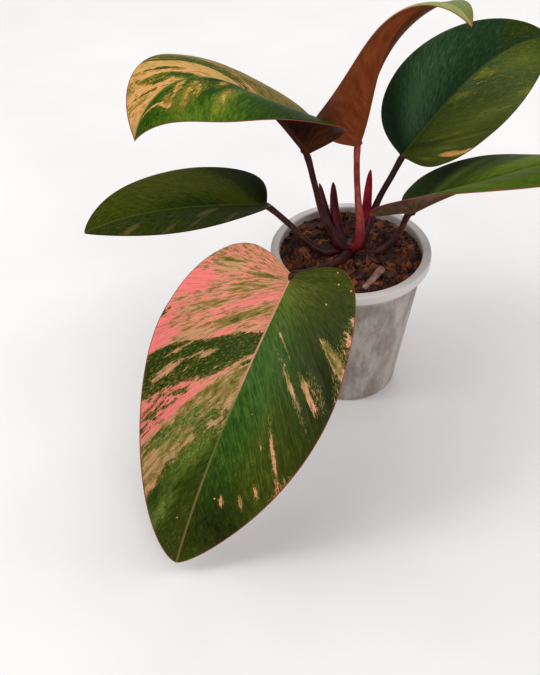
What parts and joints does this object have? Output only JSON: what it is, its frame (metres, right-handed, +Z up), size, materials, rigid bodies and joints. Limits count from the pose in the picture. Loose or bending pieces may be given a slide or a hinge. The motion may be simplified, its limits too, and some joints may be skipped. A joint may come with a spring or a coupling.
{
  "type": "potted philodendron",
  "caption": "Variegated aroid house plant with broad pink, cream and dark green leaves on long stalks, rooted in coarse bark soil in a round tapered nursery pot.",
  "frame": {"origin": "centre of the pot's flat underside, where the pot stands on a surface", "axes": "+Z up along the pot's axis; -Y towards the side from which the plant was pictured; +X to that viewer's right"},
  "size_m": [0.3174, 0.2801, 0.2483],
  "materials": {
    "pot_plastic": "frosted, slightly translucent grey-white plastic with the soil's mottling faintly showing through",
    "soil": "damp, coarse coir and bark chips, red-brown with orange-brown pieces and dark gaps",
    "stem": "dull brown, slightly fibrous",
    "root_stub": "pale pinkish-grey, dry",
    "leaf_pink": "glossy leaf, one half salmon pink with olive streaks, the other deep green with cream and pink flecks",
    "leaf_cream": "glossy leaf, one half cream-orange with green streaks, the other green with yellow flecks",
    "leaf_dark": "satin dark olive-green leaf with a faint light midrib",
    "leaf_copper": "glossy young leaf with a copper-brown underside and a pale green upper side",
    "leaf_marbled": "glossy leaf, one half blue-green, the other olive and yellow-green marbled",
    "leaf_green": "glossy green leaf with a light midrib and a thin red margin",
    "stalk_maroon": "smooth, dark maroon-brown",
    "stalk_red": "smooth, translucent red",
    "sheath_red": "smooth, bright crimson",
    "sheath_dark": "smooth, dark maroon"
  },
  "bodies": {
    "root": {"pot": "pot_plastic", "soil": "soil", "stem": "stem", "root_stub": "root_stub", "blade_front": "leaf_pink", "blade_upper_left": "leaf_cream", "blade_left": "leaf_dark", "blade_centre": "leaf_copper", "blade_back_right": "leaf_marbled", "blade_right": "leaf_green", "petiole_front": "stalk_maroon", "petiole_upper_left": "stalk_maroon", "petiole_left": "stalk_maroon", "petiole_centre": "stalk_red", "petiole_back_right": "stalk_maroon", "petiole_right": "stalk_maroon", "sheath_bright": "sheath_red", "sheath_dark_long": "sheath_dark", "sheath_dark_short": "sheath_dark"}
  },
  "joints": []
}
